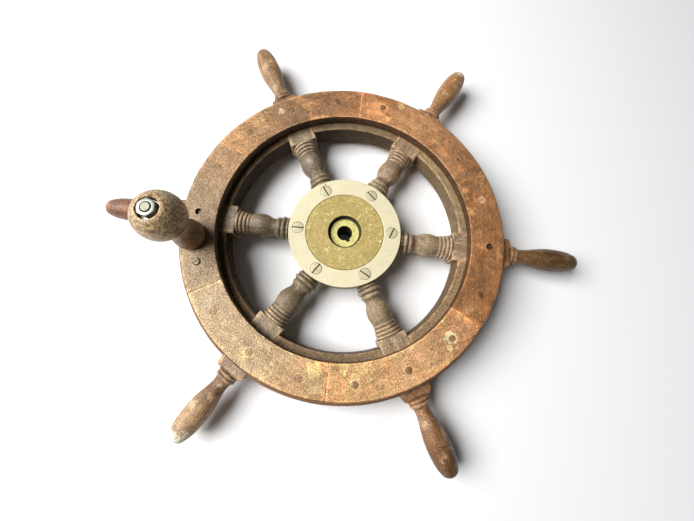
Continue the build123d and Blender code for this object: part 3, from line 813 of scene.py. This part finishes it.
def square_loop(distance, half_wide, half_thick, corner=1.4):
    """A rounded rectangle across the spoke, with a point in each direction of round_loop."""
    loop = []
    for turn in even_turns(AROUND):
        y, z = cos(turn), sin(turn)
        reach = 1 / max(abs(y) / half_wide, abs(z) / half_thick)
        y, z = y * reach, z * reach
        over_y, over_z = abs(y) - (half_wide - corner), abs(z) - (half_thick - corner)
        if over_y > 0 and over_z > 0:
            scale = corner / max(hypot(over_y, over_z), corner)
            y = (half_wide - corner + over_y * scale) * (1 if y > 0 else -1)
            z = (half_thick - corner + over_z * scale) * (1 if z > 0 else -1)
        loop.append((distance, y, z))
    return loop


SPOKE_TIP, BALL_R = 305, 11.4


def spoke_loops(tip):
    """Loops from the wedge in the hub to the tip of the handle, in millimetres along X."""
    loops = []
    for distance in (42.5, 43.2, 48, 53, 57.4, 60, 62.5, 64.5, 66.0):
        half = min(distance * tan(radians(29.6)), sqrt(max(66.5**2 - distance**2, 1)))
        loops.append(square_loop(distance, half, 13.45, 0.5))
    loops.append(round_loop(66.2, 7.5))
    loops += [round_loop(*s) for s in curve_stations([(66.3, 13), (70.4, 13)])]
    loops += [round_loop(*s) for s in bead_stations(HUB_BEADS, 13)]
    loops += [round_loop(*s) for s in curve_stations([(87.6, 11.6), (91.5, 11.0), (98, 13.6), (106, 15.6),
        (113, 14.9), (119.6, 13.4)])]
    loops += [round_loop(*s) for s in bead_stations(RIM_BEADS, 13.4)]
    block_half = block_half_thick / MM
    loops.append(round_loop(137.0, 15.4))
    loops.append(square_loop(137.02, 17.2, block_half - 0.8))
    loops.append(square_loop(137.5, 17.8, block_half - 0.2))
    loops += [square_loop(d, 18, block_half - 0.02) for d in np.arange(138.2, 208.6, 2.2)]
    loops += [square_loop(d, 18 - 0.8 * (d - 209) * 0.9, block_half - 0.8 * (d - 209)) for d in (209.5,
        210.4, 211.4, 212.3)]
    loops.append(round_loop(212.5, 11.6))
    loops += [round_loop(*s) for s in bead_stations(HANDLE_BEADS, 11.6)]
    ball, past = tip - BALL_R, 5.4
    knots = [(222.6, 10.6), (226, 9.5), (231, 9.2), (239, 10.2), (251, 12.6), (262, 14.1), (271, 14.4),
        (281, 13.9), (289, 13.0)]
    knots.append((ball + past, sqrt(BALL_R**2 - past**2)))
    loops += [round_loop(*s) for s in curve_stations(knots)]
    for turn in range(58, 3, -6):
        loops.append(round_loop(ball + BALL_R * cos(radians(turn)), BALL_R * sin(radians(turn))))
    return loops


SPOKE_LOOKS = [
    # colours from the hub to the tip of the handle
    dict(bands=((150, 131, 106), (168, 146, 115), (168, 142, 112), (158, 130, 96), (160, 118, 76), (116,
    82, 46), (94, 68, 37), (106, 78, 46)),
         patch=((142, 106, 66), 0.15), gloss=(0.30, 0.5)),
    dict(bands=((160, 141, 110), (165, 139, 108), (170, 143, 113), (168, 134, 98), (176, 136, 98), (168,
    124, 82), (184, 132, 84), (206, 164, 122)),
         patch=((230, 196, 160), 0.15), gloss=(0.26, 0.46)),
    dict(bands=((162, 145, 116), (150, 134, 110), (190, 167, 136), (176, 144, 108), (156, 118, 82), (184,
    145, 105), (186, 142, 96), (178, 138, 98)),
         patch=((226, 184, 138), 0.2), gloss=(0.34, 0.56)),
    # the fourth spoke's third colour (its stub inside the rim) and fifth colour (its neck) are lifted to
    # make up for the shade that the rim and the knob throw there: painted light
    dict(bands=((158, 141, 113), (162, 142, 114), (200, 174, 142), (178, 152, 120), (166, 138, 104), (160,
    114, 74), (150, 102, 62), (134, 88, 52)),
         patch=((150, 120, 88), 0.15), gloss=(0.18, 0.34)),
    dict(bands=((172, 153, 124), (152, 132, 104), (192, 167, 134), (202, 176, 142), (188, 156, 124), (140,
    102, 64), (216, 172, 124), (236, 204, 164)),
         patch=((122, 88, 54), 0.25), gloss=(0.34, 0.55)),
    dict(bands=((152, 134, 108), (158, 137, 106), (166, 142, 112), (150, 116, 82), (152, 112, 76), (156,
    114, 78), (130, 88, 50), (96, 68, 40)),
         patch=((190, 146, 108), 0.15), gloss=(0.30, 0.5)),
]
SPOKE_MARKS = [
    # distance along the spoke, distance across it and size in millimetres, colour, strength
    [(284, 3, 7, (140, 110, 76), 0.5), (300, 2, 4, (170, 144, 114), 0.6), (223, 0, 5, (170, 142, 106),
    0.5)],
    [(299, 0, 7, (244, 222, 190), 0.75), (270, -6, 8, (226, 186, 142), 0.5), (252, 3, 6, (222, 180, 134),
    0.5)],
    [(268, 4, 9, (236, 200, 160), 0.6), (236, 2, 7, (226, 190, 150), 0.5), (108, 3, 6, (204, 186, 158),
    0.5)],
    [(297, 0, 7, (204, 122, 80), 0.6), (272, 0, 15, (196, 112, 72), 0.5), (247, 0, 8, (214, 180, 148),
    0.4)],
    [(300, 0, 10, (255, 246, 224), 1.0), (287, 7, 5, (252, 236, 206), 0.8), (262, -8, 9, (240, 206, 164),
    0.6),
     (244, 4, 7, (226, 190, 146), 0.45), (228, 2, 4, (240, 218, 186), 0.5)],
    [(240, -6, 8, (214, 176, 138), 0.6), (301, 0, 6, (84, 58, 36), 0.7), (262, 5, 9, (176, 134, 94), 0.5)],
]


def make_spokes():
    """Each spoke from its wedge in the hub to its handle, in one piece."""
    for index, angle in enumerate(SPOKE_ANGLES):
        name = f"spoke_{index + 1}"
        place = Matrix.Translation((0, 0, spoke_z)) @ Matrix.Rotation(radians(angle), 4,
            "Z") @ Matrix.Scale(MM, 4)
        loops = [[place @ Vector(p) for p in loop] for loop in spoke_loops(SPOKE_TIP)]
        piece = loft(f"{name}_wood", loops)
        wear(piece, index + 41, 0.30 * MM, 0.06 * MM, 0.35 * MM, 8 * MM)
        mark_relief(piece, 2, 0.9)
        light = lit(*on_circle(0.25, angle))
        marks = []
        for along, across, size, paint, strength in SPOKE_MARKS[index]:
            spot = place @ Vector((along, across, 0))
            marks.append((spot.x, spot.y, size * MM, paint, strength))
        material = wood(f"{name}_look", angle, seed=index + 51, light=light, side=0, grain=0.7,
            ends=(0.07, 0.305),
                        speck=0.7, marks=marks, groove_dirt_and_shade=0.55, **SPOKE_LOOKS[index])
        finish(piece, material, "wheel", [name], 50)


# ---------------------------------------- knob
def turned(name, outline, centre, around=96, wrap=True):
    """A solid of revolution about Z from (radius, height) points in metres."""
    loops = []
    for turn in even_turns(around):
        loops.append([(centre[0] + r * cos(turn), centre[1] + r * sin(turn), z) for r, z in outline])
    return loft(name, loops, cap=False, wrap=wrap)


def filled(points, step):
    """An outline with more points on its long straight runs."""
    result = []
    for index, start in enumerate(points):
        end = points[(index + 1) % len(points)]
        steps = max(1, round(hypot(end[0] - start[0], end[1] - start[1]) / step))
        for part in range(steps):
            share = part / steps
            result.append((start[0] + share * (end[0] - start[0]), start[1] + share * (end[1] - start[1])))
    return result


def make_knob():
    """The wooden knob, bored through, with a pocket for its nut."""
    rim = front_high / MM
    base = knob_low[2] / MM
    top = knob_high[2] / MM
    head_r, head_z = 25.0, rim + 68.2
    pocket_r, floor = 10.7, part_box("knob_top_washer")[0][2] / MM - 0.3
    hole_r = 7.05
    neck = [(base + 0.7, 16.9), (rim + 8.5, 17.8), (rim + 18.5, 16.4), (rim + 31, 13.7), (rim + 41, 14.0),
        (rim + 47, 15.9)]
    neck.append((rim + 53, sqrt(head_r**2 - 15.2**2)))
    outline = [(hole_r, base), (15.6, base), (16.4, base + 0.25)]
    outline += [(r, z) for z, r in curve_stations(neck, 1.1)]
    flat_r = sqrt(head_r**2 - (top - head_z) ** 2)
    start, end = atan2(-15.2, neck[-1][1]), atan2(top - head_z, flat_r)
    for part in range(43):
        turn = start + (end - 0.03 - start) * part / 42
        outline.append((head_r * cos(turn), head_z + head_r * sin(turn)))
    outline += [(flat_r - 0.6, top - 0.15), (flat_r - 1.4, top), (pocket_r + 0.9, top), (pocket_r + 0.3,
        top - 0.3)]
    outline += [(pocket_r, top - 1.0), (pocket_r, floor), (hole_r, floor)]
    outline = filled([(r * MM, z * MM) for r, z in outline], 1.2 * MM)
    piece = turned("knob_grip_wood", outline, (knob_x, knob_y))
    wear(piece, 71, 0.30 * MM, 0.06 * MM, 0.45 * MM, 8 * MM)
    mark_relief(piece, 2)
    material = wood("knob_look", 0, ((216, 182, 134), (212, 178, 132)), 72, lit(knob_x, knob_y), 0.5, 1.0,
        fine_scale=420, mottle=0.8,
                    dust_and_sheen=((206, 182, 142), 0.35), patch=((130, 98, 58), 0.3), flakes=((220, 196, 156),
                    0.35),
                    gloss=(0.34, 0.55), side=0, foot=((rim + 24) * MM, (rim + 50) * MM, (0.46, 0.34, 0.22,
                    1)))
    finish(piece, material, "knob", ["knob_grip"], 45)


NUT_FLATS, NUT_CORNER_R = 16 * MM, 9.24 * MM


def hexagon_loops(across_flats, levels, turn_deg):
    """Loops of a hexagon bar; levels are (height, largest radius) and turn off the corners."""
    loops = []
    for height, limit in levels:
        loop = []
        for turn in even_turns(96):
            local = (turn + pi / 6) % (pi / 3) - pi / 6
            reach = min(across_flats / 2 / cos(local), limit)
            angle = turn + radians(turn_deg)
            loop.append((knob_x + reach * cos(angle), knob_y + reach * sin(angle), height))
        loops.append(loop)
    return loops


def make_knob_fittings():
    """The nut and the bolt that hold the knob."""
    nut_low, nut_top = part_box("knob_nut")[0][2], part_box("knob_nut")[1][2]
    corner = NUT_CORNER_R
    chamfer = [(nut_top - 1.0 * MM, corner), (nut_top - 0.6 * MM, 8.75 * MM), (nut_top - 0.2 * MM,
        8.0 * MM), (nut_top, 7.55 * MM)]
    levels = [(nut_low, 8.0 * MM), (nut_low + 0.5 * MM, corner), ((nut_low + nut_top) / 2,
        corner)] + chamfer
    nut = loft("knob_nut_metal", hexagon_loops(NUT_FLATS, levels, 12))
    carve(nut, round_bars([(knob_x, knob_y)], 5.35 * MM, nut_low - 0.01, nut_top + 0.01, 64))
    mark_relief(nut, 1)
    look = metal("nut_look", (226, 232, 216), 3.0, 1.25 * lit(knob_x, knob_y), (0.34, 0.48), metallic=0.3,
        side=0.45)
    finish(nut, look, "wheel", ["knob_nut"], 30)

    low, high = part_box("knob_bolt")[0][2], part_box("knob_bolt")[1][2]
    head_top = low + 6.5 * MM
    levels = [(low, 7.5 * MM), (low + 0.3 * MM, 8.1 * MM), (low + 0.9 * MM, corner), (head_top, corner)]
    head_loops = hexagon_loops(NUT_FLATS, levels, 0)
    shank = [(head_top, 5.0 * MM), (nut_low, 5.0 * MM)]
    turns = round((high - 2.0 * MM - nut_low) / (0.375 * MM))
    for part in range(turns):
        height = nut_low + part * 0.375 * MM
        shank.append((height, (5.0 - (0.45 if part % 4 in (1, 2) else 0.0)) * MM))
    shank += [(high - 1.6 * MM, 4.5 * MM), (high - 1.2 * MM, 4.35 * MM), (high - 0.3 * MM, 4.2 * MM),
        (high, 3.95 * MM)]
    for height, radius in shank:
        ring = even_turns(96)
        head_loops.append([(knob_x + radius * cos(t), knob_y + radius * sin(t), height) for t in ring])
    bolt = loft("knob_bolt_metal", head_loops)
    mark_relief(bolt, 1)
    look = metal("bolt_look", (226, 224, 188), 5.0, 1.3 * lit(knob_x, knob_y), (0.44, 0.58), ((190, 186,
        150), 0.3, 300), metallic=0.2, side=0.8)
    finish(bolt, look, "wheel", ["knob_bolt"], 30)


# ---------------------------------------- rim fixings
PLUG_TONES = [(60, (226, 180, 136)), (80, (104, 74, 50)), (120, (128, 94, 66)), (220, (196, 166, 132)),
    (240, (188, 156, 120)),
              (260, (150, 118, 84)), (280, (112, 86, 62)), (300, (196, 144, 98)), (340, (118, 78, 48))]


def make_plugs():
    """The wooden plugs over the rim's screws, leaving out the open holes and the two odd screws that show.
    """
    for side, face, up in (("front", front_high, 1), ("back", 0.0, -1)):
        skip = (*OPEN_HOLES, FLUSH_SCREW, RAISED_SCREW) if side == "front" else ()
        points, faces = [], []
        for angle in FIXING_ANGLES:
            if angle in skip:
                continue
            x, y = on_circle(FIXING_PITCH, angle)
            first = len(points)
            lift = (-0.25 + 0.3 * noise.noise(Vector((angle * 0.7, 3.0 * up, 0)))) * MM
            rows = [(0.0, lift), (2.6, lift + 0.05 * MM), (3.55, lift - 0.02 * MM), (3.85,
                lift - 0.3 * MM), (3.85, -3.7 * MM)]
            points.append((x, y, face + up * rows[0][1]))
            for radius, height in rows[1:]:
                for k in range(28):
                    turn = 2 * pi * k / 28
                    points.append((x + radius * MM * cos(turn), y + radius * MM * sin(turn),
                        face + up * height))
            for k in range(28):
                after = (k + 1) % 28
                faces.append((first, first + 1 + k, first + 1 + after))
                for row in range(3):
                    a, b = first + 1 + row * 28, first + 29 + row * 28
                    faces.append((a + k, b + k, b + after, a + after))
            faces.append(tuple(first + 1 + 3 * 28 + k for k in range(28)))
        mesh = bpy.data.meshes.new(f"{side}_rim_plugs_wood")
        mesh.from_pydata(points, [], faces)
        piece = linked(f"{side}_rim_plugs_wood", mesh)
        outward(piece)
        mark_relief(piece, 1)
        marks = [(*on_circle(FIXING_PITCH, a), 6 * MM, paint, 0.6) for a,
            paint in PLUG_TONES] if side == "front" else []
        material = wood(f"{side}_plug_look", 30, ((170, 132, 94), (160, 122, 84)), 81 + up, lit(0, 0), 0.8,
                        dust_and_sheen=((190, 160, 124), 0.4), patch=((120, 84, 52), 0.5), side=0, marks=marks)
        finish(piece, material, "wheel", [f"{side}_rim_plugs"], 40)


# ---------------------------------------- hub and fittings
HUB_SCREWS = [(5, 70), (61, 139), (121, 127), (182, 2), (240, 57), (301, 152)]
HUB_SCREW_PITCH = 58.4 * MM
HUB_SCREW_R = 7.0 * MM
PLATE_R, PLATE_HOLE_R = 69.85, 48.6
BOSS_R, FLANGE_R, COLLAR_R, RECESS_R = 48.2, 67, 30, 20.75
BUSH_R, BORE_R, KEY_ANGLE = 18, 9.525, 300


def lathe(name, outline, edge=0.4):
    """A turned ring round the bore from (radius, height) corners in millimetres, edges broken."""
    softened = []
    for index, here in enumerate(outline):
        before, after = outline[index - 1], outline[(index + 1) % len(outline)]
        for other in (before, after):
            length = hypot(other[0] - here[0], other[1] - here[1])
            share = min(edge / length, 0.4)
            softened.append((here[0] + share * (other[0] - here[0]),
                here[1] + share * (other[1] - here[1])))
    points = filled([(r * MM, z * MM) for r, z in softened], 2.5 * MM)
    return turned(name, points, (0, 0), 192)


def make_hub():
    """The front plate with its six slotted screws, the boss and the keyed bush."""
    high, low = plate_high / MM, plate_low / MM
    light = lit(0, 0)
    plate = lathe("hub_plate_metal", [(PLATE_R, low), (PLATE_R, high), (PLATE_HOLE_R, high),
        (PLATE_HOLE_R, low)], 0.6)
    spots = [on_circle(HUB_SCREW_PITCH, angle) for angle, _ in HUB_SCREWS]
    carve(plate, round_bars(spots, HUB_SCREW_R + 0.35 * MM, plate_low - 0.01, plate_high + 0.01, 64))
    mark_relief(plate, 1)
    # the plate's pale, nearly matt colour, lifted above what the light gives, partly paints the shine of
    # the brass: painted reflection
    look = metal("hub_plate_look", (252, 241, 200), 1.0, 0.83 * light, (0.52, 0.66), pits=0.78,
        metallic=0.12, cloudy=0.05)
    finish(plate, look, "wheel", ["hub_front_plate"], 30)

    boss_top, bush_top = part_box("hub_boss")[1][2] / MM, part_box("hub_bush")[1][2] / MM
    flange_low = low - 32
    outline = [(BUSH_R, 0), (COLLAR_R, 0), (COLLAR_R, flange_low), (FLANGE_R, flange_low),
               (FLANGE_R, flange_low + 5), (BOSS_R, flange_low + 5), (BOSS_R, boss_top), (RECESS_R,
               boss_top),
               (RECESS_R, bush_top), (BUSH_R, bush_top)]
    boss = lathe("hub_boss_metal", outline, 0.5)
    mark_relief(boss, 1)
    # the wall of the boss's recess is darkened near black: painted shade with soiling
    look = metal("hub_boss_look", (214, 190, 118), 2.0, 0.79 * light, (0.5, 0.66), ((190, 164, 92), 0.5,
        170), 0.5, 0.12,
                 cloudy=0.14, recess_dirt_and_shade=((bush_top - 1) * MM, (boss_top - 1) * MM), flecks=((252, 242, 160),
                 0.55))
    finish(boss, look, "wheel", ["hub_boss"], 30)

    bush = lathe("hub_bush_metal", [(BORE_R, 0), (BUSH_R, 0), (BUSH_R, bush_top), (BORE_R, bush_top)], 0.35)
    carve(bush, bar_cutter((0, 0), KEY_ANGLE, (0.004, 11.9 * MM), 2.4 * MM, (-0.01, 0.06)))
    mark_relief(bush, 1)
    look = metal("hub_bush_look", (248, 238, 148), 4.0, 0.74 * light, (0.42, 0.56), ((176, 158, 92), 0.25,
        230), 1.0, 0.12,
                 cloudy=0.2, side=0.95)
    finish(bush, look, "wheel", ["hub_bush"], 30)

    # the screws are darkened below the plate's face, inside their holes: painted shade
    look = metal("hub_screw_look", (244, 233, 190), 6.0, 0.88 * light, (0.44, 0.58), ((206, 194, 146),
        0.3, 300), 0.4, 0.2,
                 recess_dirt_and_shade=(plate_high - 4 * MM, plate_high - 0.5 * MM))
    rows = [(0.0, 0.12), (3.0, 0.10), (5.6, 0.02), (6.6, -0.1), (7.0, -0.4), (7.0, -0.9), (3.95, -4.0),
        (3.95, -31.0), (0.0, -31.0)]
    loops = []
    for radius, height in rows:
        size = max(radius, 0.02) * MM
        loops.append([(size * cos(t), size * sin(t), plate_high + height * MM) for t in even_turns(64)])
    joined = []
    for angle, slot in HUB_SCREWS:
        x, y = on_circle(HUB_SCREW_PITCH, angle)
        screw = loft("hub_screw", [[(px + x, py + y, pz) for px, py, pz in loop] for loop in loops])
        levels = (plate_high - 1.6 * MM, plate_high + 0.005)
        carve(screw, bar_cutter((x, y), slot, (-8 * MM, 8 * MM), 0.8 * MM, levels))
        joined.append(screw)
    points, faces = [], []
    for screw in joined:
        first = len(points)
        points += [tuple(v.co) for v in screw.data.vertices]
        faces += [tuple(first + v for v in face.vertices) for face in screw.data.polygons]
        bpy.data.objects.remove(screw)
    mesh = bpy.data.meshes.new("hub_screws_metal")
    mesh.from_pydata(points, [], faces)
    piece = linked("hub_screws_metal", mesh)
    mark_relief(piece, 1)
    finish(piece, look, "wheel", ["hub_screws"], 30)


def make_fittings():
    """Materials for the fittings whose CAD shape stays."""
    dull = metal("dull_steel_look", (110, 96, 74), 7.0, stain=((92, 66, 44), 0.4, 180))
    zinc = metal("zinc_look", (200, 198, 186), 8.0, stain=((150, 142, 124), 0.3, 200), metallic=0.6)
    painted = metal("painted_screw_look", (236, 184, 136), 9.0, rough=(0.5, 0.7), stain=((196, 146, 100),
        0.4, 260), metallic=0.0)
    raised = metal("raised_screw_look", (196, 182, 158), 10.0, 1.6, (0.55, 0.75), ((150, 130, 104), 0.5,
        300), 0.8, 0.2)
    for node, material in (
        ("front_rim_screws", dull), ("back_rim_screws", dull), ("knob_sleeve", dull), ("knob_base_washer",
        dull),
        ("knob_top_washer", zinc), ("knob_head_washer", zinc), ("flush_rim_screw", painted),
        ("raised_rim_screw", raised),
    ):
        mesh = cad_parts[node].data
        mesh.materials.clear()
        mesh.materials.append(material)


def make_floor():
    """A plain pale floor under the wheel."""
    half = 12.0
    mesh = bpy.data.meshes.new("floor")
    mesh.from_pydata([(-half, -half, 0), (half, -half, 0), (half, half, 0), (-half, half, 0)], [], [(0, 1,
        2, 3)])
    floor = bpy.data.objects.new("floor", mesh)
    floor.location = (0, 0, -0.0003)
    scene.collection.objects.link(floor)
    material, _, shader = new_material("floor_look")
    shader.inputs["Base Color"].default_value = (0.92, 0.92, 0.92, 1)
    shader.inputs["Roughness"].default_value = 0.9
    shader.inputs["Specular IOR Level"].default_value = 0.1
    mesh.materials.append(material)


make_camera()
make_light()
make_floor()
make_facings()
make_felloes()
make_spokes()
make_knob()
make_knob_fittings()
make_plugs()
make_hub()
make_fittings()
